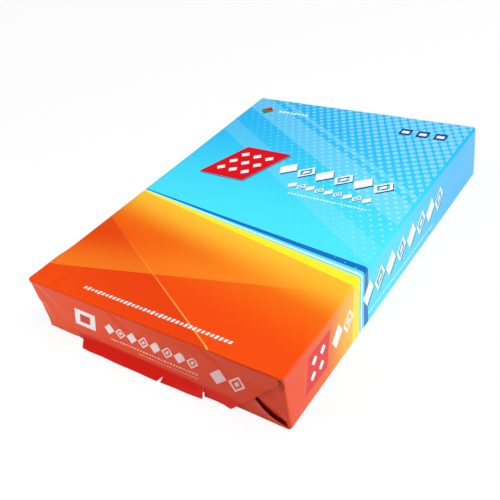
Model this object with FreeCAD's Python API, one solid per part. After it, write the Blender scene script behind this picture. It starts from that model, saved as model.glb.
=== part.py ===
"""A sealed ream of copy paper: a block of sheets in a printed wrapper that is folded shut at both ends.

Millimetres. X runs across the ream, Y along it and Z up. The origin is the centre of the face that
the ream rests on. The near end is at -Y and the far end at +Y. The pack is sealed and can't be seen
into, so sheets and wrapper are one solid, and the wrapper's folds stand on it where they show.
"""
import FreeCAD, Part
import math
import os

# The sheets
sheet_width = 210.0
sheet_length = 297.0
sheet_count = 500
sheet_thickness = 0.0892

# How far the wrapper stands off the sheets
side_slack = 1.0
end_slack = 1.5
top_slack = 0.4

# Rounding of the wrapper
long_edge_radius = 2.5
end_edge_radius = 1.0

# The wrapper's folded layers, each standing proud of the one below it
fold_step = 0.6

# The wrapper where it stands off the pack by itself
loose_thickness = 0.4

# Near end: the top flap, which is folded down last, slants at 45 degrees from here on its right side
near_flap_drop = 5.0

# Near end: the top flap's loose margin, which kicks out on to the table
margin_height = 9.0
margin_bend_radius = 4.0
tail_reach = 6.4
tail_left_lean = 5.6
tail_right_from_left = 149.5
hem_reach = 2.6
hem_narrowing = 9.5

# Near end: the nick torn in the loose margin
nick_from_left = 114.0
nick_width = 2.7
nick_depth = 3.4
nick_lean = 1.8

# Near end: the gap that gapes beside the bottom flap, and the pinch at the top corner
gape_inner_from_corner = 23.0
gape_inner_height = 17.8
gape_corner_from_side = 1.5
gape_corner_height = 4.0
gape_lower_bulge = 2.2
gape_upper_bulge = 0.7
gape_depth = 2.4
lip_reach = 2.8
lip_foot_height = 1.0
pinch_width = 2.0
pinch_height = 7.0
pinch_depth = 1.6
pinch_from_side = 1.0
pinch_from_top = 5.2

# Far end, folded neatly
far_flap_depth = 39.0

# The block that the wrapper's tube makes round the sheets
pack_width = sheet_width + 2 * side_slack
pack_length = sheet_length + 2 * end_slack
pack_height = sheet_count * sheet_thickness + top_slack
left = -pack_width / 2
right = pack_width / 2
near = -pack_length / 2
far = pack_length / 2
near_flap_face = near - 2 * fold_step
near_flap_depth = pack_height - margin_height

X_AXIS = FreeCAD.Vector(1, 0, 0)
Y_AXIS = FreeCAD.Vector(0, 1, 0)
Z_AXIS = FreeCAD.Vector(0, 0, 1)


def prism(points, travel):
    """The solid that a closed outline of points sweeps as it moves by travel."""
    outline = Part.makePolygon([*points, points[0]])
    return Part.Face(outline).extrude(travel)


def tube():
    """The wrapped block, with soft long edges and tighter folded ones round both ends."""
    block = Part.makeBox(pack_width, pack_length, pack_height, FreeCAD.Vector(left, near, 0))
    long_edges = [e for e in block.Edges if is_along(e, Y_AXIS)]
    block = block.makeFillet(long_edge_radius, long_edges)
    end_edges = [e for e in block.Edges if lies_in_end(e)]
    return block.makeFillet(end_edge_radius, end_edges)


def is_along(edge, axis):
    """True if a straight edge runs along an axis."""
    run = edge.Vertexes[-1].Point - edge.Vertexes[0].Point
    return run.Length > 0 and abs(abs(run.dot(axis)) - run.Length) < 1e-6


def lies_in_end(edge):
    """True if an edge lies in the plane of the near or the far end."""
    box = edge.BoundBox
    flat = box.YMax - box.YMin < 1e-6
    return flat and (abs(box.YMin - near) < 1e-6 or abs(box.YMax - far) < 1e-6)


def flap(end, outward, outline, lift, crease_height):
    """A layer folded flat on an end face, from (x, z) points, with the crease it turns at rounded."""
    plate = prism([FreeCAD.Vector(x, end, z) for x, z in outline], Y_AXIS * (outward * lift))
    face = end + outward * lift
    crease = [
        e
        for e in plate.Edges
        if is_along(e, X_AXIS)
        and abs(e.CenterOfMass.y - face) < 1e-6
        and abs(e.CenterOfMass.z - crease_height) < 1e-6
    ]
    return plate.makeFillet(lift * 0.9, crease)


def bottom_flap(end, outward, right_side):
    """The bottom flap, folded up over the side gussets. Its left side rises at 45 degrees.

    Above half the pack's height it is all under the top flap, so it is drawn only that far up.
    """
    inset = end_edge_radius
    depth = pack_height / 2
    outline = [(left + inset, 0), *right_side, (left + inset + depth, depth)]
    return flap(end, outward, outline, fold_step, 0)


def top_flap_sides(depth, drop):
    """The x of the top flap's left and right side at a depth. The right one drops before it slants."""
    inset = end_edge_radius
    return left + inset + depth, right - inset - max(depth - drop, 0)


def top_flap(end, outward, depth, drop):
    """The top flap, folded down over the bottom one, with sides that slant at 45 degrees."""
    start_left, start_right = top_flap_sides(0, drop)
    end_left, end_right = top_flap_sides(depth, drop)
    outline = [(start_left, pack_height), (start_right, pack_height)]
    if drop:
        outline.append((start_right, pack_height - drop))
    outline += [(end_right, pack_height - depth), (end_left, pack_height - depth)]
    return flap(end, outward, outline, 2 * fold_step, pack_height)


def kicked_sheet(start, end, reach):
    """A thin sheet between two x that comes off the top flap at its bend and slopes to the table."""
    inner_face = near_flap_face + loose_thickness
    out = near - reach
    slope = math.atan2(margin_height, inner_face - out)
    turn = math.pi / 2 - slope
    to_tangent = margin_bend_radius * math.tan(turn / 2)

    def at(y, z):
        return FreeCAD.Vector(start, y, z)

    bend = at(inner_face, margin_height)
    foot = at(out, 0)
    down = at(inner_face, margin_height - to_tangent) - bend
    along = (foot - bend).normalize() * to_tangent
    centre = at(inner_face - margin_bend_radius, margin_height + to_tangent)
    to_bend = (bend - centre).normalize() * margin_bend_radius
    arc = Part.Arc(bend - down, centre + to_bend, bend + along)
    line = Part.LineSegment(bend + along, foot)
    underside = Part.Wire([arc.toShape(), line.toShape()])
    section = underside.makeOffset2D(loose_thickness, join=2, fill=True, openResult=True)
    return section.extrude(X_AXIS * (end - start))


def trimmed(sheet, plan):
    """The part of a sheet that lies over a plan of (x, y) points."""
    top = margin_height + 2 * margin_bend_radius
    return sheet.common(prism([FreeCAD.Vector(x, y, 0) for x, y in plan], Z_AXIS * top))


def tail():
    """The long part of the loose margin, whose left end leans inwards, with the nick torn in it."""
    start = top_flap_sides(near_flap_depth, near_flap_drop)[0]
    end = left + tail_right_from_left
    behind = near
    beyond = near - tail_reach - loose_thickness
    nick = left + nick_from_left
    plan = [
        (start, behind),
        (start + tail_left_lean, beyond),
        (nick - nick_width / 2, beyond),
        (nick + nick_lean, near - tail_reach + nick_depth),
        (nick + nick_width / 2, beyond),
        (end, beyond),
        (end, behind),
    ]
    return trimmed(kicked_sheet(start, end, tail_reach), plan)


def hem():
    """The rest of the loose margin, right of the tail, which stands out much less."""
    start = left + tail_right_from_left
    end = top_flap_sides(near_flap_depth, near_flap_drop)[1]
    beyond = near - hem_reach - loose_thickness
    plan = [(start, near), (start, beyond), (end - hem_narrowing, beyond), (end, near)]
    return trimmed(kicked_sheet(start, end, hem_reach), plan)


def gape_ends(y):
    """The two ends of the bottom flap's slanted right edge, in the plane at y."""
    corner = FreeCAD.Vector(right - gape_corner_from_side, y, gape_corner_height)
    inner = FreeCAD.Vector(right - gape_inner_from_corner, y, gape_inner_height)
    return corner, inner


def gape():
    """The gap between the bottom flap's slanted right edge and the side gusset behind it."""
    corner, inner = gape_ends(near + gape_depth)
    chord = inner - corner
    below = Y_AXIS.cross(chord).normalize() * -1
    middle = corner + chord * 0.5
    lower = Part.Arc(corner, middle + below * gape_lower_bulge, inner)
    upper = Part.Arc(inner, middle + below * gape_upper_bulge, corner)
    wire = Part.Wire([lower.toShape(), upper.toShape()])
    return Part.Face(wire).extrude(Y_AXIS * -(gape_depth + 3 * fold_step))


def gape_lip():
    """The bottom flap beside the gap, whose slanted edge bows off the pack."""
    corner, inner = gape_ends(near)
    bowed = (corner + inner) * 0.5 - Y_AXIS * lip_reach
    edge = Part.Arc(inner - Y_AXIS * fold_step, bowed, corner).toShape()
    foot_start = FreeCAD.Vector(right - pack_height, near - fold_step, lip_foot_height)
    foot_end = FreeCAD.Vector(corner.x - gape_corner_height, near, lip_foot_height)
    foot = Part.makeLine(foot_start, foot_end)
    return Part.makeRuledSurface(foot, edge).extrude(Y_AXIS * loose_thickness)


def corner_pinch():
    """The small hole that is left where the folds meet at the top right corner of the near end."""
    x = right - pinch_from_side
    z = pack_height - pinch_from_top
    start_y = near + pinch_depth
    points = [
        FreeCAD.Vector(x, start_y, z),
        FreeCAD.Vector(x - pinch_width, start_y, z),
        FreeCAD.Vector(x - pinch_width / 4, start_y, z - pinch_height),
    ]
    return prism(points, Y_AXIS * -(pinch_depth + 3 * fold_step))


def near_end():
    """The near end's folds. The bottom flap's right side ends short of the gap, under its lip."""
    corner, inner = gape_ends(near)
    right_side = [(corner.x - gape_lower_bulge, 0), (inner.x - gape_lower_bulge, inner.z)]
    cover = top_flap(near, -1, near_flap_depth + margin_bend_radius / 2, near_flap_drop)
    return [bottom_flap(near, -1, right_side), gape_lip(), cover, tail(), hem()]


def far_end():
    """The far end's folds, a bottom flap and a top flap with both sides at 45 degrees."""
    foot = right - end_edge_radius
    right_side = [(foot, 0), (foot - pack_height / 2, pack_height / 2)]
    return [
        bottom_flap(far, 1, right_side),
        top_flap(far, 1, far_flap_depth, 0),
    ]


def wrapped_ream():
    """The whole sealed pack as one solid."""
    pack = tube().cut(gape()).fuse([*near_end(), *far_end()])
    return pack.cut(corner_pinch()).removeSplitter()


os.makedirs("parts", exist_ok=True)
ream = wrapped_ream()
ream.exportStep("parts/wrapped_ream.step")
box = ream.optimalBoundingBox(True)
print("solids", len(ream.Solids), "valid", ream.isValid(), "volume", round(ream.Volume))
print("box", [round(v, 2) for v in (box.XMin, box.XMax, box.YMin, box.YMax, box.ZMin, box.ZMax)])
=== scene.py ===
import math

import bmesh
import bpy
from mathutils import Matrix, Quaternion, Vector, geometry, noise


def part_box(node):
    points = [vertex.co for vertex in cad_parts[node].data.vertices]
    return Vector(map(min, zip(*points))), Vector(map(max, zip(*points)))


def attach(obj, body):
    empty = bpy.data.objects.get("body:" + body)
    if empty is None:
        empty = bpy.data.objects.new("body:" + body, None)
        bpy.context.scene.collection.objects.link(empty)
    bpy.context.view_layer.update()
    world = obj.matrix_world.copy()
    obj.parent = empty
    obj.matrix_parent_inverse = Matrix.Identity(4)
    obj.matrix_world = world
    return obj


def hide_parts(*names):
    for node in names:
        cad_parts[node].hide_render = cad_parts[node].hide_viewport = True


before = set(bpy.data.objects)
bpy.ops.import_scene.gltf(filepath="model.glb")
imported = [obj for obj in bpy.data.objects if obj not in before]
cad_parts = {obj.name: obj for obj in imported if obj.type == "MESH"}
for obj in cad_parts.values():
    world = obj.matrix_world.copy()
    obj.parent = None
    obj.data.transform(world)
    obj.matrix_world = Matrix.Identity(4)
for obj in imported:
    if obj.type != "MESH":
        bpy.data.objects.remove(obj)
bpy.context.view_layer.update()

# The wrapper of a sealed ream of copy paper, built as the flat printed sheet and folded round the pack.
# X runs across the ream, Y along it and Z up. On the flat sheet, u runs across and v along, from the
# middle of the ream's top.

ream_low, ream_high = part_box("wrapped_ream")
mm = 0.001

# The pack
half_width = ream_high.x
pack_height = ream_high.z
fold_step = 0.6 * mm
half_length = ream_high.y - 2 * fold_step

# The paper and how tightly it bends
paper = 0.2 * mm
edge_radius = 2.5 * mm
crease_radius = 1.2 * mm
quarter_turn = math.pi / 2

# Where the flat sheet turns, across it
top_edge = half_width - edge_radius
side_start = top_edge + edge_radius * quarter_turn
side_end = side_start + pack_height - 2 * edge_radius
base_start = side_end + edge_radius * quarter_turn

# The lap under the ream, where the right half of the sheet is glued over the left half
lap_outer_x = -72 * mm
lap_inner_x = -52 * mm
lap_gap = 0.15 * mm
lap_margin = 1 * mm
lap_slope = 7 * mm
left_end = -(base_start + top_edge + lap_inner_x)
right_end = base_start + top_edge - lap_outer_x

# Where the sheet turns on to the ends, along it
crease_start = half_length - crease_radius
crease_length = crease_radius * quarter_turn

# The near top flap, whose right side starts to slant this far down
near_flap_drop = 4 * mm

# Its loose margin: how high it turns away, lower at its left, and how far it turns
margin_height = 9 * mm
margin_left_height = 5 * mm
margin_radius = 4 * mm
tail_angles = (math.radians(34.1), math.radians(23.4))
tail_left_angle = math.radians(51)
tail_left = -63.4 * mm
tail_left_slope = 20 * mm
tail_left_lean = 0.65
tail_right = 43.5 * mm
hem_angles = (math.radians(10.1), math.radians(5.1))
hem_right = 64.5 * mm
nick_mouth = 8.1 * mm
nick_tip = 11.0 * mm
nick_width = 2.7 * mm
nick_depth = 4.6 * mm
tail_wave = 0.25 * mm
tail_wave_rate = 200
margin_rows = 14

# The near bottom flap's right edge, which hangs below its chord and bows off the gusset
gape_foot = Vector((103.5, 0, 2.5)) * mm
gape_head = Vector((83.0, 0, 17.8)) * mm
gape_sag = 0.8 * mm
lip_reach = 1.6 * mm
lip_breadth = 8 * mm

# The hollow in the gusset behind that edge, below its rim
rim_foot = Vector((106.0, 0, 5.0)) * mm
rim_head = Vector((84.0, 0, 19.2)) * mm
rim_sag = 2.4 * mm
hollow_depth = 3.2 * mm
hollow_slope = 1.6 * mm

# The far flap's foot, and how deep the rest of the folded layers reach
far_flap_foot = 6 * mm
gusset_depth = 34 * mm
bottom_flap_depth = 24 * mm

# How far a flap's slanted sides are pressed down, first over the gusset and deeper over the other flap
press_breadth = 4 * mm
over_gusset_depth = 16 * mm
over_flap_depth = 28 * mm
press_over_gusset = 0.75 * mm
press_over_flap = 0.2 * mm
lift_near_right = 0.25 * mm
curl_over_lip = 1.0 * mm

# How far the paper waves where it is only glued here and there
side_wave = 0.35 * mm
end_wave = 0.4 * mm
top_wave = 0.12 * mm
wave_start = 9 * mm

# Where the mesh's rows across the sheet are far apart, between its middle and its ends
wide_rows_end = 130 * mm

# The photo's camera: where it stands, what it looks at, how it is rolled, and its lens in millimetres
camera_place = Vector((0.2666, -0.3422, 0.3163))
camera_aim = Vector((0.0030, -0.0364, 0.0213))
camera_roll = math.radians(-11)
camera_lens = 48.3

# How far the floor's surface lies below the ream, how bright the dark room looks in the ream's gloss,
# and how much light comes from all round
floor_gap = 0.1 * mm
mirrored_light = 0.03
room_light = 0.44

# Wrinkles, in millimetres: from, to, half breadth, and which way and how far they push the paper
wrinkles = [
    ((-30, -151, 43), (-19, -151, 31), 2.4, (0, -0.45, 0)),
    ((-24, -151, 43), (-12, -151, 33), 3.0, (0, 0.35, 0)),
    ((-2, -151, 31), (41, -151, 29), 3.0, (0, 0.7, 0)),
    ((0, -151, 36), (40, -151, 35), 4.5, (0, -0.4, 0)),
    ((48, -151, 39), (56, -151, 34), 2.2, (0, -0.5, 0)),
    ((50, -151, 43), (62, -151, 38), 3.0, (0, 0.35, 0)),
    ((70, -151, 29), (96, -151, 31), 8.0, (0, 0.7, 0)),
    ((-60, -151, 22), (-30, -151, 18), 7.0, (0, -0.35, 0)),
    ((-100, -150, 26), (-96.5, -150, 19), 2.0, (0, -0.35, 0)),
    ((-104, -150, 20), (-104, -150, 5), 4.5, (0, 1.1, 0)),
    ((-106, -150, 40), (-106, -150, 14), 7.0, (-0.7, 0, 0)),
    ((-106, -150, 45), (-106, -125, 45), 9.0, (-0.7, -0.4, 0.8)),
    ((104.4, -150, 38.5), (103.8, -150, 34.5), 1.3, (0, 1.5, 0)),
    ((88, -150, 28), (103, -150, 12), 2.6, (0, -0.35, 0)),
    ((-87, -147, 45), (-85, -137, 45), 2.2, (0, 0, -0.9)),
    ((-79, -141, 45), (-71, -149, 45), 3.6, (0, 0, 0.7)),
    ((-97, -138, 45), (-92, -148, 45), 4.5, (0, 0, 0.6)),
    ((99, -146, 45), (103, -149, 45), 3.0, (0, 0, -0.3)),
]


def clamped(value, lowest, highest):
    """The value, held between two limits."""
    return max(lowest, min(value, highest))


def eased(value, start, end):
    """0 before the start and 1 past the end, with a smooth rise between them."""
    share = clamped((value - start) / (end - start), 0, 1)
    return share * share * (3 - 2 * share)


def reach(depth):
    """How far along the sheet a point lies that folds down to this depth on an end."""
    return crease_start + crease_length + depth - crease_radius


def spaced(start, end, spacing):
    """Values from start to end, both included, about as far apart as the spacing."""
    count = max(1, round(abs(end - start) / spacing))
    return [start + (end - start) * i / count for i in range(count + 1)]


def first_row(bm, at):
    """A row of edges across the sheet, closer together where the paper turns."""
    runs = [
        (-base_start, 3.4 * mm),
        (-side_end, 0.8 * mm),
        (-side_start, 1.4 * mm),
        (-top_edge, 0.8 * mm),
        (top_edge, 2.0 * mm),
        (side_start, 0.8 * mm),
        (side_end, 1.4 * mm),
        (base_start, 0.8 * mm),
        (right_end, 2.6 * mm),
    ]
    start = left_end
    vert = bm.verts.new((start, at, 0))
    for end, spacing in runs:
        stops = spaced(start, end, spacing)
        for before, after in zip(stops, stops[1:]):
            vert = bmesh.ops.extrude_vert_indiv(bm, verts=[vert])["verts"][0]
            bmesh.ops.translate(bm, verts=[vert], vec=(after - before, 0, 0))
        start = end
    return bm.edges[:]


def extend(bm, edges, rows):
    """Extrudes a row of edges through more rows and returns the last.

    Each row is its left end and its right end, across the sheet, and how far along the sheet it lies
    at a place across it.
    """
    for left, right, along in rows:
        made = bmesh.ops.extrude_edge_only(bm, edges=edges)["geom"]
        verts = [item for item in made if isinstance(item, bmesh.types.BMVert)]
        fresh = set(verts)
        edges = [
            item
            for item in made
            if isinstance(item, bmesh.types.BMEdge) and fresh.issuperset(item.verts)
        ]
        low = min(vert.co.x for vert in verts)
        high = max(vert.co.x for vert in verts)
        for vert in verts:
            u = left + (right - left) * (vert.co.x - low) / (high - low)
            vert.co = (u, along(u), 0)
    return edges


def level(v):
    """A row that lies equally far along the sheet everywhere."""
    return lambda u: v


def between(edges, low, high):
    """The edges of a row whose middles lie between two places across the sheet."""
    return [edge for edge in edges if low < (edge.verts[0].co.x + edge.verts[1].co.x) / 2 < high]


def snap(edges, u):
    """Moves a row's nearest vertex along the row to a place across the sheet."""
    verts = [vert for edge in edges for vert in edge.verts]
    min(verts, key=lambda vert: abs(vert.co.x - u)).co.x = u


def rows_on(end, depths, left, right):
    """Rows at these depths on an end. The row's two ends follow left(depth) and right(depth)."""
    return [(left(depth), right(depth), level(end * reach(depth))) for depth in depths[1:]]


def near_left(depth):
    """The left side of the near top flap, folded at 45 degrees from the corner."""
    return -half_width + depth


def near_right(depth):
    """Its right side, which starts to slant lower down."""
    return min(top_edge, half_width + near_flap_drop - depth)


def gape_edge(depth):
    """Where the near bottom flap's right edge lies across the sheet. It hangs below its chord."""
    chord = gape_head - gape_foot
    below = Vector((chord.z, 0, -chord.x)).normalized() * -4 * gape_sag
    low, high = 0.0, 1.0
    while high - low > 1e-6:
        share = (low + high) / 2
        point = gape_foot + chord * share + below * share * (1 - share)
        low, high = (share, high) if point.z < depth else (low, share)
    return base_start + top_edge - point.x


def left_share(u):
    """1 at the tail's left end, and 0 where it has risen to its full height."""
    return 1 - eased(u, tail_left - 2 * mm, tail_left + tail_left_slope)


def tail_turn(u):
    """How far the tail turns away from the end, at a place across the sheet."""
    share = clamped((u - tail_left) / (tail_right - tail_left), 0, 1) ** 4
    angle = tail_angles[0] + (tail_angles[1] - tail_angles[0]) * share
    return angle + (tail_left_angle - angle) * left_share(u)


def hem_turn(u):
    """How far the hem turns away, also at its left end, where the tail is torn from it."""
    share = clamped((u - tail_right) / (hem_right - tail_right), 0, 1)
    return hem_angles[0] + (hem_angles[1] - hem_angles[0]) * share


def bend_depth(u, angle):
    """The depth on the near top flap at which its loose margin starts to turn away."""
    height = margin_height + (margin_left_height - margin_height) * left_share(u)
    return pack_height - height - margin_radius * math.tan(angle / 2)


def edge_depth(u, angle):
    """The depth on that flap of the edge that touches the table."""
    start = bend_depth(u, angle)
    fall = pack_height - start - margin_radius * math.sin(angle) - paper
    return start + margin_radius * angle + fall / math.cos(angle)


def loose_row(share, left, right, start, turned):
    """A row of the loose margin, at a share of the way from its start to the edge on the table."""
    return left, right, lambda u: -reach(start + (edge_depth(u, turned(u)) - start) * share)


def near_top_flap(bm, edges):
    """The flap that is folded down last, with the loose tail, the nick torn in it and the hem."""
    start = bend_depth(tail_right, tail_angles[0])
    depths = spaced(edge_radius, start, 1.5 * mm)
    foot = extend(bm, edges, rows_on(-1, depths, near_left, near_right))
    snap(foot, tail_right)

    tail_start, hem_start = near_left(start), near_right(start)
    rows = [
        loose_row(share, tail_right, hem_start + (hem_right - hem_start) * share, start, hem_turn)
        for share in spaced(0, 1, 1 / margin_rows)[1:]
    ]
    mark_turn(bm, foot, rows, tail_right, math.inf, hem_turn)

    def tail_side(share):
        return tail_start + (tail_left - tail_start) * share**tail_left_lean

    tip = 1 - nick_depth / (edge_depth(nick_mouth, tail_turn(nick_mouth)) - start)
    rows = [
        loose_row(share, tail_side(share), tail_right, start, tail_turn)
        for share in spaced(0, tip, 1 / margin_rows)[1:]
    ]
    at_tip = mark_turn(bm, foot, rows, -math.inf, tail_right, tail_turn)
    snap(at_tip, nick_tip)
    left_rows, right_rows = [], []
    for share in spaced(tip, 1, 1 / margin_rows)[1:]:
        torn = (share - tip) / (1 - tip)
        middle = nick_tip + (nick_mouth - nick_tip) * torn
        half = nick_width / 2 * torn
        left_rows.append(loose_row(share, tail_side(share), middle - half, start, tail_turn))
        right_rows.append(loose_row(share, middle + half, tail_right, start, tail_turn))
    mark_turn(bm, at_tip, left_rows, -math.inf, nick_tip, tail_turn)
    mark_turn(bm, at_tip, right_rows, nick_tip, tail_right, tail_turn)


def mark_turn(bm, edges, rows, low, high, turned):
    """Extends part of a row by rows of the loose margin, and keeps how far each vertex turns away."""
    kick = bm.verts.layers.float["kick"]
    known = set(bm.verts)
    last = extend(bm, between(edges, low, high), rows)
    for vert in bm.verts:
        if vert not in known:
            vert[kick] = turned(vert.co.x)
    return last


def flat_wrapper():
    """The flat printed sheet, cut out so that its flaps and gussets can fold over each other."""
    bm = bmesh.new()
    bm.verts.layers.float.new("kick")
    bm.verts.layers.float_vector.new("sheet")
    wide = spaced(-wide_rows_end, wide_rows_end, 4.5 * mm)[1:]
    close = [
        *spaced(wide_rows_end, crease_start, 1.3 * mm)[1:],
        *spaced(crease_start, crease_start + crease_length, 0.38 * mm)[1:],
        *spaced(reach(crease_radius), reach(edge_radius), 0.5 * mm)[1:],
    ]
    first = first_row(bm, -wide_rows_end)
    far_row = extend(bm, first, [(left_end, right_end, level(v)) for v in wide + close])
    near_row = extend(bm, first, [(left_end, right_end, level(-v)) for v in close])

    near_top_flap(bm, between(near_row, -top_edge, top_edge))
    far_sides = spaced(edge_radius, pack_height - far_flap_foot, 1.8 * mm)
    rows = rows_on(1, far_sides, near_left, lambda depth: half_width - depth)
    extend(bm, between(far_row, -top_edge, top_edge), rows)

    depths = spaced(edge_radius, bottom_flap_depth, 1.2 * mm)
    inner = base_start - edge_radius
    for end, row, edge in ((-1, near_row, gape_edge), (1, far_row, lambda depth: inner + depth)):
        rows = rows_on(end, depths, edge, lambda depth: right_end)
        extend(bm, between(row, base_start, right_end), rows)
        rows = rows_on(end, depths, lambda depth: left_end, lambda depth: -inner - depth)
        extend(bm, between(row, left_end, -base_start), rows)

    depths = spaced(edge_radius, gusset_depth, 1.3 * mm)
    for end, row in ((-1, near_row), (1, far_row)):
        for low, high in ((-side_end, -side_start), (side_start, side_end)):
            rows = rows_on(end, depths, lambda depth: low, lambda depth: high)
            extend(bm, between(row, low, high), rows)
    return bm


def layers_under(turn):
    """How many folded layers lie under the paper on an end: 2 from the top, 1 from the base."""
    return 2 - 2 * eased(turn, 0, quarter_turn) + eased(turn, quarter_turn, 2 * quarter_turn)


def depth_on_end(v):
    """How deep on an end a point of the sheet lies that is this far along it."""
    return abs(v) - crease_start - crease_length + crease_radius


def folded(u, v, kick):
    """Where a point of the flat sheet goes on the pack, and which way its printed side faces."""
    size, side = abs(u), math.copysign(1, u)
    turn = clamped((size - top_edge) / edge_radius, 0, quarter_turn)
    turn += clamped((size - side_end) / edge_radius, 0, quarter_turn)
    x = min(size, top_edge) + edge_radius * math.sin(turn) - max(size - base_start, 0)
    down = clamped(size - side_start, 0, side_end - side_start)
    z = pack_height - edge_radius + edge_radius * math.cos(turn) - down
    out = Vector((side * math.sin(turn), 0, math.cos(turn)))
    place = Vector((side * x, v, z))
    past = abs(v) - crease_start
    if past <= 0:
        return place, out

    end = Vector((0, math.copysign(1, v), 0))
    bend = min(past / crease_radius, quarter_turn)
    depth = crease_radius * (1 - math.cos(bend)) + max(past - crease_length, 0)
    stand_off = fold_step * layers_under(turn) + crease_radius
    place.y = 0
    place += end * (crease_start + stand_off * math.sin(bend)) - out * depth
    normal = out * math.cos(bend) + end * math.sin(bend)
    past = depth - bend_depth(u, kick)
    if kick and past > 0:
        angle = min(past / margin_radius, kick)
        run = max(past - margin_radius * kick, 0)
        drop = margin_radius * math.sin(angle) + run * math.cos(angle)
        away = margin_radius * (1 - math.cos(angle)) + run * math.sin(angle)
        place.z = pack_height - bend_depth(u, kick) - drop
        place += end * away
        normal = end * math.cos(angle) + Vector((0, 0, math.sin(angle)))
    return place, normal


def off_line(place, start, end):
    """The share of the way along a line, and the distance above it, of a place seen from the end."""
    line = end - start
    offset = Vector((place.x - start.x, 0, place.z - start.z))
    upward = Vector((-line.z, 0, line.x)).normalized() * (-1 if line.x < 0 else 1)
    return offset.dot(line) / line.length_squared, offset.dot(upward)


def pressed(distance, amount):
    """How far paper is pressed down at a distance from its slanted edge."""
    return -amount * math.exp(-((max(distance, 0) / press_breadth) ** 2))


def flap_lift(place, u, v):
    """How the slanted sides of the end flaps are pressed down, and how the lip and hollow stand."""
    depth = depth_on_end(v)
    if depth < edge_radius:
        return 0
    held = eased(depth, edge_radius, edge_radius + 4 * mm)
    size = abs(u)
    if size < top_edge:
        right = near_right(depth) if v < 0 else half_width - depth
        distance = min(u - near_left(depth), right - u) * math.sqrt(0.5)
        upper, lower = press_over_gusset, press_over_flap
        if v < 0 < u:
            upper, lower = -lift_near_right, -curl_over_lip
        amount = upper + (lower - upper) * eased(depth, over_gusset_depth, over_flap_depth)
        return held * pressed(distance, amount)
    if size > base_start:
        if v < 0 < u:
            share, height = off_line(place, gape_foot, gape_head)
            bow = math.sin(math.pi * clamped(share, 0, 1)) * (1 - eased(-height, 0, lip_breadth))
            return lip_reach * bow
        distance = (top_edge + edge_radius - depth - abs(place.x)) * math.sqrt(0.5)
        return held * pressed(distance, press_over_flap)
    if v < 0 < u and size > side_start:
        share, height = off_line(place, rim_foot, rim_head)
        height += 4 * rim_sag * clamped(share, 0, 1) * (1 - clamped(share, 0, 1))
        hollow = eased(-height, 0, hollow_slope) * eased(share, 0.02, 0.25)
        return -hollow_depth * hollow
    return 0


def wrinkled(place):
    """How the wrinkles push the paper at a place."""
    total = Vector((0, 0, 0))
    for start, end, breadth, push in wrinkles:
        start, end = Vector(start) * mm, Vector(end) * mm
        share = clamped(geometry.intersect_point_line(place, start, end)[1], 0, 1)
        distance = (place - start.lerp(end, share)).length
        total += Vector(push) * mm * math.exp(-((distance / (breadth * mm)) ** 2))
    return total


def wave_lift(place, out):
    """The slight waves of paper that is only glued here and there."""
    side = noise.noise(Vector((place.x, place.y * 22, place.z * 30)))
    end = noise.noise(Vector((place.x * 30, place.y * 2 + 7, place.z * 45)))
    top = noise.noise(Vector((place.x * 14, place.y * 14, 3)))
    held = eased(place.z, 0, wave_start)
    lift = abs(out.x) * side * side_wave + abs(out.y) * end * end_wave
    return held * lift + max(out.z, 0) * top * top_wave


def lifted(place, out, u, v, kick):
    """Where the paper comes to lie, with its slack and its wrinkles, from its folded place."""
    tucked = 0
    if u < -base_start:
        slope_end = lap_outer_x - lap_margin
        tucked = -(paper + lap_gap) * eased(place.x, slope_end - lap_slope, slope_end)
    amount = tucked + flap_lift(place, u, v)
    slack = 1
    if kick:
        past = depth_on_end(v) - bend_depth(u, kick)
        slack = 1 - eased(past, -3 * mm, 2 * mm)
        amount += tail_wave * eased(past, 0, 8 * mm) * (1 + math.sin(u * tail_wave_rate + 1))
    if out.z < -0.5:
        slack = 0
    return place + out * (amount + wave_lift(place, out) * slack) + wrinkled(place) * slack


def fold_up(bm):
    """Folds the flat sheet round the pack, and keeps where each vertex lay on it."""
    kick = bm.verts.layers.float["kick"]
    sheet = bm.verts.layers.float_vector["sheet"]
    for vert in bm.verts:
        u, v = vert.co.x, vert.co.y
        vert[sheet] = (u, v, 0)
        place, out = folded(u, v, vert[kick])
        vert.co = lifted(place, out, u, v, vert[kick])


def thickened(bm):
    """Gives the paper its thickness, inwards, with the printed side as the first material.

    The bare paper is the second. It shows inside and where the paper is cut, but not on folded rims.
    """
    kick = bm.verts.layers.float["kick"]
    outside = set(bm.verts)
    bmesh.ops.solidify(bm, geom=bm.faces[:], thickness=paper)
    for face in bm.faces:
        inner = sum(vert not in outside for vert in face.verts)
        cut = inner > 0 and all(vert[kick] > 0 for vert in face.verts)
        face.material_index = 1 if cut or inner == len(face.verts) else 0
        face.smooth = True
    for edge in bm.edges:
        edge.smooth = edge.calc_face_angle(math.pi) < math.radians(50)


def wrapper():
    """The whole folded wrapper as one piece."""
    bm = flat_wrapper()
    fold_up(bm)
    bmesh.ops.recalc_face_normals(bm, faces=bm.faces[:])
    thickened(bm)
    mesh = bpy.data.meshes.new("wrapper")
    bm.to_mesh(mesh)
    bm.free()
    piece = bpy.data.objects.new("wrapper", mesh)
    bpy.context.scene.collection.objects.link(piece)
    return piece


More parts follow.
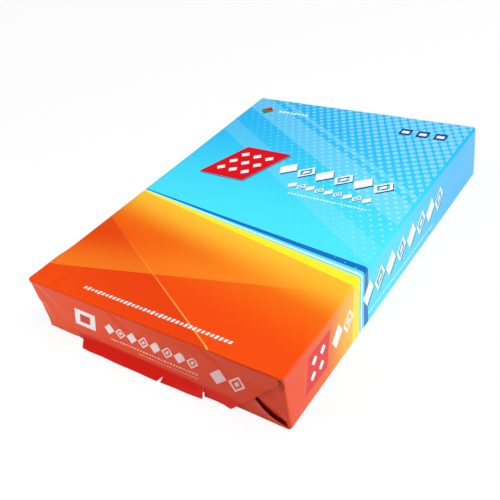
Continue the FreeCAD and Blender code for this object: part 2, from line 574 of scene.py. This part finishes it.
class Value:
    """A node's output, whose arithmetic adds Math nodes."""

    def __init__(self, tree, socket=None):
        self.tree = tree
        self.socket = socket

    def add(self, kind, settings=None, inputs=None, output=0):
        """Adds a node of a kind with its settings, then feeds its inputs, and gives one output."""
        node = self.tree.nodes.new(kind)
        for name, setting in (settings or {}).items():
            setattr(node, name, setting)
        for name, value in (inputs or {}).items():
            if isinstance(value, Value):
                self.tree.links.new(value.socket, node.inputs[name])
            else:
                node.inputs[name].default_value = value
        return Value(self.tree, node.outputs[output] if node.outputs else None)

    def math(self, operation, *values):
        """Adds a Math node."""
        return self.add("ShaderNodeMath", {"operation": operation}, dict(enumerate(values)))

    def __add__(self, other):
        return self.math("ADD", self, other)

    def __radd__(self, other):
        return self.math("ADD", other, self)

    def __sub__(self, other):
        return self.math("SUBTRACT", self, other)

    def __rsub__(self, other):
        return self.math("SUBTRACT", other, self)

    def __mul__(self, other):
        return self.math("MULTIPLY", self, other)

    def __rmul__(self, other):
        return self.math("MULTIPLY", other, self)

    def __truediv__(self, other):
        return self.math("DIVIDE", self, other)

    def __abs__(self):
        return self.math("ABSOLUTE", self)

    def held(self):
        """The value, held between 0 and 1."""
        return self.math("MINIMUM", self.math("MAXIMUM", self, 0), 1)


def ink(red, green, blue):
    """A printed colour, from its screen values of 0 to 255."""
    shares = [part / 255 for part in (red, green, blue)]
    return (*[((s + 0.055) / 1.055) ** 2.4 if s > 0.04 else s / 12.92 for s in shares], 1)


# The inks that several parts of the print share
white_ink = ink(250, 253, 255)
red_ink = ink(226, 8, 22)
yellow_ink = ink(255, 236, 40)
blue_ink = ink(24, 110, 196)
navy_ink = ink(14, 62, 132)

# How the rows of the print lean, on the top, on the sides and ends, and where they are fine
top_slant = 0.36
side_slant = 0.34
fine_slant = 0.3

# In millimetres on the flat sheet: where the top's print ends across and along it, where the sides'
# print lies, where the sheet turns under the ream, and how far on the bands have narrowed to nothing
print_side = 104
print_end = 150
side_low = 107
side_middle = 127
side_high = 148
base_turn = 151
bands_run = 175.5


def above(value, edge):
    """1 where a value is above an edge and 0 elsewhere. One of the two may be a number."""
    either = value if isinstance(value, Value) else edge
    return either.math("GREATER_THAN", value, edge)


def inside(value, low, high):
    """1 where a value lies between two edges."""
    return above(value, low) * above(high, value)


def block(u, v, left, right, low, high):
    """1 inside a block of the sheet."""
    return inside(u, left, right) * inside(v, low, high)


def rising(value, start, end):
    """0 up to the start and 1 from the end on, with a smooth rise between them."""
    settings = {"interpolation_type": "SMOOTHSTEP"}
    return value.add("ShaderNodeMapRange", settings, {"Value": value, 1: start, 2: end})


def covered(below, color, mask):
    """A colour printed over what is below it, where a mask is 1."""
    return mask.add("ShaderNodeMix", {"data_type": "RGBA"}, {0: mask, 6: below, 7: color}, 2)


def shaded(below, mask, left):
    """A colour darkened to what is left of it, where a mask is 1."""
    settings = {"data_type": "RGBA", "blend_type": "MULTIPLY"}
    return mask.add("ShaderNodeMix", settings, {0: mask, 6: below, 7: (left, left, left, 1)}, 2)


def bars(u, v, start, end, middle, height, pitch, fill, slant, uneven=0):
    """A row of leaning bars from start to end, whose heights differ by up to the share uneven."""
    up = v - middle
    along = u - up * slant - start
    cell = along / pitch
    index = cell.math("FLOOR", cell)
    place = abs((cell - index) * pitch - pitch / 2)
    half = height / 2
    if uneven:
        chance = index.add("ShaderNodeTexWhiteNoise", {"noise_dimensions": "1D"}, {"W": index})
        half = half - half * uneven * chance
    mask = above(fill * pitch / 2, place) * above(half, abs(up))
    return mask * inside(along, 0, end - start)


def diamonds(u, v, start, count, middle, height, slant):
    """A row of leaning diamonds. Every other one is hollow with a dot in it."""
    breadth = height * 0.84
    pitch = height * 0.92
    up = v - middle
    cell = (u - up * slant - start) / pitch
    index = cell.math("FLOOR", cell)
    across = abs((cell - index) * 2 - 1) * (pitch / breadth)
    far = abs(up) * (2 / height) + across
    hollow = index.math("FLOORED_MODULO", index, 2)
    return above(1, far) * (1 - hollow * inside(far, 0.34, 0.68)) * inside(cell, 0, count)


def lattice(u, v, pitch):
    """Small diamonds, one in the middle of each square of a grid."""
    total = 0
    for along in (u, v):
        cell = along / pitch
        total = abs(cell.math("FRACT", cell) * 2 - 1) + total
    return above(0.64, total)


def halftone(u, v, pitch, radius):
    """A grid of round dots, turned by 30 degrees, of a radius that may vary."""
    total = 0
    for across, along in ((0.866, 0.5), (-0.5, 0.866)):
        cell = (u * across + v * along) / pitch
        offset = (cell.math("FRACT", cell) - 0.5) * pitch
        total = offset * offset + total
    return above(radius, total.math("SQRT", total))


def boundary(u):
    """Where the blue part ends, along the sheet. It runs straight over top and sides, and back below."""
    size = u.math("MINIMUM", u.math("MAXIMUM", u, -base_turn), base_turn)
    past_right = u.math("MAXIMUM", u - base_turn, 0)
    past_left = u.math("MAXIMUM", -base_turn - u, 0)
    return size * -0.181 - 47 + past_right * 0.3526 + past_left * 0.23


def facets(u, v, paint, orange):
    """Two broad facets in the top's orange part, the lower one with a gold edge."""
    below = v + 66 + (u + 106) * 0.52
    dark = orange * above(0, below) * rising(below, -90, 0)
    paint = covered(paint, ink(222, 54, 4), dark * 0.6)
    gold = orange * inside(below, -1.1, 0) * rising(u, -110, 60)
    paint = covered(paint, ink(255, 205, 90), gold * 0.6)
    rise = v + 132 - (u + 106) * 0.27
    light = orange * above(rise, 0) * (1 - rising(rise, 0, 46))
    return covered(paint, ink(255, 170, 40), light * 0.35)


def dots_and_bands(u, v, paint, blue):
    """Pale slanted bands and a field of dots in the top's blue part."""
    cross = v + u * 0.62
    bands = inside(cross, 66, 92) + inside(cross, 98, 103) + inside(cross, 20, 40) * 0.6
    paint = covered(paint, ink(150, 228, 252), blue * bands * 0.34)
    radius = rising(v + u * 0.8, -40, 210) * 2.9
    return covered(paint, ink(176, 238, 255), blue * halftone(u, v, 6.4, radius) * 0.5)


def top_print(u, v, paint, blue_side):
    """What only the top has: facets in the orange, dots and bands in the blue, and the motifs."""
    on_top = block(u, v, -print_side, print_side, -print_end, print_end)
    paint = facets(u, v, paint, on_top * (1 - blue_side))
    paint = dots_and_bands(u, v, paint, on_top * blue_side)

    shadow = block(u - 1.6 - (v - 36.4) * top_slant, v, left=-70, right=-26, low=12.4, high=60.4)
    paint = covered(paint, navy_ink, on_top * shadow * 0.65)
    lean = u - (v - 38) * top_slant
    paint = covered(paint, red_ink, on_top * block(lean, v, left=-70, right=-26, low=14, high=62))
    small = lattice(lean + 66, v - 20, pitch=12) * block(lean, v, left=-66, right=-30, low=20, high=56)
    paint = covered(paint, white_ink, on_top * small)
    for shift, color in ((1.3, navy_ink), (0, white_ink)):
        x, y = u - shift, v + shift
        row = diamonds(x, y, start=-16, count=6, middle=42, height=18, slant=top_slant)
        x, y = u - shift / 2, v + shift / 2
        small = diamonds(x, y, start=4, count=9, middle=22, height=8.6, slant=top_slant)
        paint = covered(paint, color, on_top * (row + small))
    fine = bars(u, v, 10, 76, middle=11, height=1.5, pitch=2.8, fill=0.6, slant=top_slant, uneven=0.4)
    paint = covered(paint, white_ink, on_top * fine)

    badges = bars(u, v, 48, 93, middle=126, height=10, pitch=15, fill=0.66, slant=0)
    paint = covered(paint, ink(24, 64, 120), on_top * badges)
    badges = bars(u, v, 48, 93, middle=126, height=4.2, pitch=15, fill=0.42, slant=0)
    paint = covered(paint, white_ink, on_top * badges * 0.9)
    diamond = on_top * above(7, abs(u + 84) + abs(v - 128))
    paint = covered(paint, ink(226, 20, 26), diamond)
    paint = covered(paint, ink(40, 150, 70), diamond * above(128, v))
    fine = bars(u, v, -72, -40, middle=129, height=4, pitch=4, fill=0.6, slant=0.2, uneven=0.4)
    paint = covered(paint, white_ink, on_top * fine)
    fine = bars(u, v, -60, 66, middle=-140, height=3.2, pitch=3.4, fill=0.56, slant=fine_slant, uneven=0.45)
    return covered(paint, white_ink, on_top * fine * 0.9)


def side_print(u, v, paint):
    """The rows and the block on both long sides, read from outside."""
    along = v * u.math("SIGN", u)
    up = side_middle - abs(u)
    on_side = inside(abs(u), side_low, side_high)
    for shift, color in ((1.2, ink(30, 84, 160)), (0, white_ink)):
        x, y = along - shift, up + shift
        row = diamonds(x, y, start=-56, count=8, middle=1.5, height=18.5, slant=side_slant)
        paint = covered(paint, color, on_side * row)
    fine = bars(
        along, up, -50, 60, middle=-14.5, height=1.6, pitch=3.1, fill=0.6, slant=fine_slant, uneven=0.4
    )
    paint = covered(paint, white_ink, on_side * fine)
    lean = along - up * side_slant
    red = block(lean, up, left=-128, right=-102, low=-12, high=13)
    paint = covered(paint, red_ink, on_side * red)
    small = lattice(lean + 125, up + 9.5, pitch=10)
    small = small * block(lean, up, left=-125, right=-105, low=-9.5, high=10.5)
    paint = covered(paint, white_ink, on_side * small)
    pair = diamonds(along, up, start=-98, count=2, middle=0.5, height=16, slant=side_slant)
    return covered(paint, white_ink, on_side * pair)


def end_print(u, v, paint):
    """The rows and the block on both ends' top flaps, read from outside."""
    along = u * v.math("SIGN", v) * -1
    up = print_end - abs(v)
    on_end = above(abs(v), print_end + 1) * inside(u, -print_side, print_side)
    lean = along - (up + 19) * side_slant
    frame_block = block(lean, up, left=-66, right=-46, low=-27, high=-11)
    paint = covered(paint, white_ink, on_end * frame_block)
    inner_block = block(lean, up, left=-61, right=-51, low=-23, high=-15)
    paint = covered(paint, ink(222, 60, 30), on_end * inner_block)
    row = diamonds(along, up, start=-37, count=8, middle=-18, height=11, slant=side_slant)
    paint = covered(paint, white_ink, on_end * row)
    upper = bars(
        along, up, -34, 42, middle=-27.5, height=1.5, pitch=2.6, fill=0.6, slant=fine_slant, uneven=0.5
    )
    lower = bars(
        along, up, -10, 40, middle=-31.5, height=1.2, pitch=2.2, fill=0.6, slant=fine_slant, uneven=0.5
    )
    paint = covered(paint, white_ink, on_end * (upper + lower * 0.7) * 0.85)
    pair = diamonds(along, up, start=51, count=2, middle=-21, height=15, slant=side_slant)
    return covered(paint, white_ink, on_end * pair)


def flap_edge_painted_shadow(u, v, paint):
    """Painted shadow on the layers below, close beside the slanted sides of the top flaps: on the gussets,
    and on the near bottom flap beside the right side.
    """
    by_gap = above(-print_end, v) * above(u, 0)
    below_flap = (reach(0) + edge_radius - side_start) / mm - by_gap * (near_flap_drop / mm)
    beside = below_flap - abs(v) + abs(u)
    on_gusset = inside(abs(u), side_start / mm, side_end / mm) * above(abs(v), print_end)
    # Painted shadow on the gussets beside the top flaps' slanted sides, darkest at the near end's right.
    painted_shadow = on_gusset * above(beside, -2) * (1 - rising(beside, 0.4, 2))
    paint = shaded(paint, painted_shadow * (by_gap * 0.5 + 0.2), 0.2)
    lip_line = top_edge + base_start - half_width - near_flap_drop + pack_height + reach(0)
    beside = lip_line / mm - abs(v) - u
    # Painted shadow on the near bottom flap, beside the near top flap's right side.
    painted_shadow = by_gap * inside(u, 168, 184) * above(beside, -2) * (1 - rising(beside, 0.4, 2))
    return shaded(paint, painted_shadow * 0.7, 0.2)


def sheet_place(start):
    """Where a point of the paper lay on the flat sheet, across it and along it, in millimetres."""
    sheet = start.add("ShaderNodeAttribute", {"attribute_name": "sheet"}, output="Vector")
    scaled = start.add("ShaderNodeVectorMath", {"operation": "SCALE"}, {0: sheet, "Scale": 1 / mm})
    return [start.add("ShaderNodeSeparateXYZ", inputs={0: scaled}, output=axis) for axis in "XY"]


def print_colors(tree):
    """The wrapper's print: two fields, the bands between them, and what lies on them.

    The bands are widest where the sheet turns under the ream on the right.
    """
    u, v = sheet_place(Value(tree))
    past = v - boundary(u)
    before = 0 - past
    blue_side = above(past, 0)
    orange_side = 1 - blue_side
    paint = covered(ink(72, 228, 250), ink(38, 186, 250), rising(v, -50, 130))
    paint = covered(paint, ink(242, 122, 10), orange_side)
    paint = covered(paint, ink(240, 74, 3), orange_side * rising(before, 0, 74))
    paint = covered(paint, ink(255, 206, 56), orange_side * (1 - rising(before, 0, 36)) * 0.8)
    width = ((u + base_turn) / (2 * base_turn)).held() - ((u - base_turn) / bands_run).held()
    for low, high, color in ((0, 10, yellow_ink), (12, 14, white_ink), (17, 23, blue_ink)):
        paint = covered(paint, color, inside(past, width * low, width * high) * above(width, 0.02))
    paint = top_print(u, v, paint, blue_side)
    paint = side_print(u, v, paint)
    paint = end_print(u, v, paint)
    # Painted shade: the near end alone grows darker red towards its right.
    paint = covered(paint, ink(184, 34, 2), above(-print_end, v) * rising(u, -90, 110) * 0.6)
    paint = covered(paint, ink(220, 20, 0), rising(0 - v, 184.5, 187))
    paint = flap_edge_painted_shadow(u, v, paint)
    # A thin painted shade along the fold between the top and each end.
    fold = inside(abs(v), 149.9, 150.6) * inside(u, -print_side, print_side)
    return shaded(paint, fold, 0.78)


def bare_color_and_painted_red_light(tree):
    """The paper's bare back, with red light painted on it inside the gap."""
    u, v = sheet_place(Value(tree))
    # Painted red light on the bare back inside the gap, at the near end's right.
    inner = above(u, 100) * above(-120, v)
    return covered((0.86, 0.86, 0.84, 1), ink(206, 74, 52), inner)


def new_material(name):
    """An empty node material and a value to add its nodes from."""
    material = bpy.data.materials.new(name)
    material.use_nodes = True
    material.node_tree.nodes.clear()
    return material, Value(material.node_tree)


def paper_material(name, color, roughness):
    """Paper, coated with gloss or bare."""
    material, start = new_material(name)
    place = start.add("ShaderNodeTexCoord", output="Object")
    fine = start.add("ShaderNodeTexNoise", inputs={"Vector": place, "Scale": 700, "Detail": 1})
    bump = start.add("ShaderNodeBump", inputs={"Height": fine, "Strength": 1, "Distance": 0.00001})
    surface = start.add(
        "ShaderNodeBsdfPrincipled",
        inputs={
            "Base Color": color(material.node_tree),
            "Roughness": roughness,
            "Normal": bump,
            "IOR": 1.5,
            "Specular IOR Level": 0.3,
        },
    )
    start.add("ShaderNodeOutputMaterial", inputs={"Surface": surface})
    return material


def camera():
    """The camera of the photo."""
    data = bpy.data.cameras.new("camera")
    data.sensor_width = 36
    data.lens = camera_lens
    item = bpy.data.objects.new("camera", data)
    bpy.context.scene.collection.objects.link(item)
    item.location = camera_place
    roll = Quaternion((0, 0, 1), camera_roll)
    item.rotation_mode = "QUATERNION"
    item.rotation_quaternion = (camera_aim - camera_place).to_track_quat("-Z", "Y") @ roll
    bpy.context.scene.camera = item


def lamp(name, toward, distance, size, watts):
    """A soft square lamp, aimed at the ream from a distance in a direction."""
    data = bpy.data.lights.new(name, "AREA")
    data.size = size
    data.energy = watts
    item = bpy.data.objects.new(name, data)
    bpy.context.scene.collection.objects.link(item)
    item.location = Vector(toward).normalized() * distance
    item.rotation_mode = "QUATERNION"
    item.rotation_quaternion = (-item.location).to_track_quat("-Z", "Y")
    item.visible_glossy = False


def studio_floor():
    """A wide floor that looks white and keeps a trace of the ream's shadow.

    The ream's gloss mirrors it only close by, as a white table in a dark room, and less before its
    near end, where the floor in the gloss is darkened as a painted shadow.
    """
    bm = bmesh.new()
    bmesh.ops.create_grid(bm, x_segments=1, y_segments=1, size=4)
    bmesh.ops.translate(bm, verts=bm.verts[:], vec=(0, 0, -floor_gap))
    mesh = bpy.data.meshes.new("floor")
    bm.to_mesh(mesh)
    bm.free()
    floor = bpy.data.objects.new("floor", mesh)
    bpy.context.scene.collection.objects.link(floor)
    material, start = new_material("floor")
    camera_ray, glossy_ray, through_ray = seen_rays(start)
    place = start.add("ShaderNodeTexCoord", output="Object")
    away = start.add("ShaderNodeVectorMath", {"operation": "LENGTH"}, {0: place}, "Value")
    diffuse = start.add("ShaderNodeBsdfDiffuse", inputs={"Color": (0.95, 0.95, 0.95, 1)})
    glow = start.add("ShaderNodeEmission", inputs={"Strength": 1})
    dark = start.add("ShaderNodeEmission", inputs={"Strength": mirrored_light})
    share = (camera_ray + through_ray) * 0.9 + glossy_ray * 0.1
    white = start.add("ShaderNodeMixShader", inputs={0: share, 1: diffuse, 2: glow})
    along = start.add("ShaderNodeSeparateXYZ", inputs={0: place}, output="Y")
    # Painted shadow: in the gloss, the floor before the near end is darkened.
    painted_shadow_before_end = rising(0 - along, 0.13, 0.17) * 0.5
    faded = glossy_ray * away.math("MAXIMUM", rising(away, 0.3, 0.7), painted_shadow_before_end)
    surface = start.add("ShaderNodeMixShader", inputs={0: faded, 1: white, 2: dark})
    start.add("ShaderNodeOutputMaterial", inputs={"Surface": surface})
    material.cycles.emission_sampling = "NONE"
    floor.data.materials.append(material)


def seen_rays(start):
    """1 each for rays from the camera, and for those it sees by reflection or through something."""
    names = ("Is Camera Ray", "Is Glossy Ray", "Is Transmission Ray")
    return [start.add("ShaderNodeLightPath", output=name) for name in names]


def studio_world():
    """A white room that is dark where the ream's gloss mirrors it."""
    world = bpy.data.worlds.new("studio")
    world.use_nodes = True
    world.node_tree.nodes.clear()
    world.cycles.sampling_method = "NONE"
    bpy.context.scene.world = world
    start = Value(world.node_tree)
    camera_ray, glossy_ray, through_ray = seen_rays(start)
    seen = camera_ray + through_ray
    strength = seen + glossy_ray * mirrored_light + (1 - seen - glossy_ray) * room_light
    white = {"Color": (1, 1, 1, 1), "Strength": strength}
    sky = start.add("ShaderNodeBackground", inputs=white)
    start.add("ShaderNodeOutputWorld", inputs={"Surface": sky})


ream = wrapper()
ream.data.materials.append(paper_material("printed", print_colors, roughness=0.26))
ream.data.materials.append(paper_material("bare", bare_color_and_painted_red_light, roughness=0.6))
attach(ream, "root")
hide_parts("wrapped_ream")

studio_floor()
studio_world()
camera()
lamp("key", toward=(0.42, 0.02, 0.9), distance=1.6, size=0.7, watts=17.6)
lamp("fill", toward=(-0.62, -0.72, 0.4), distance=0.75, size=0.4, watts=1.15)
bpy.context.scene.view_settings.view_transform = "Standard"
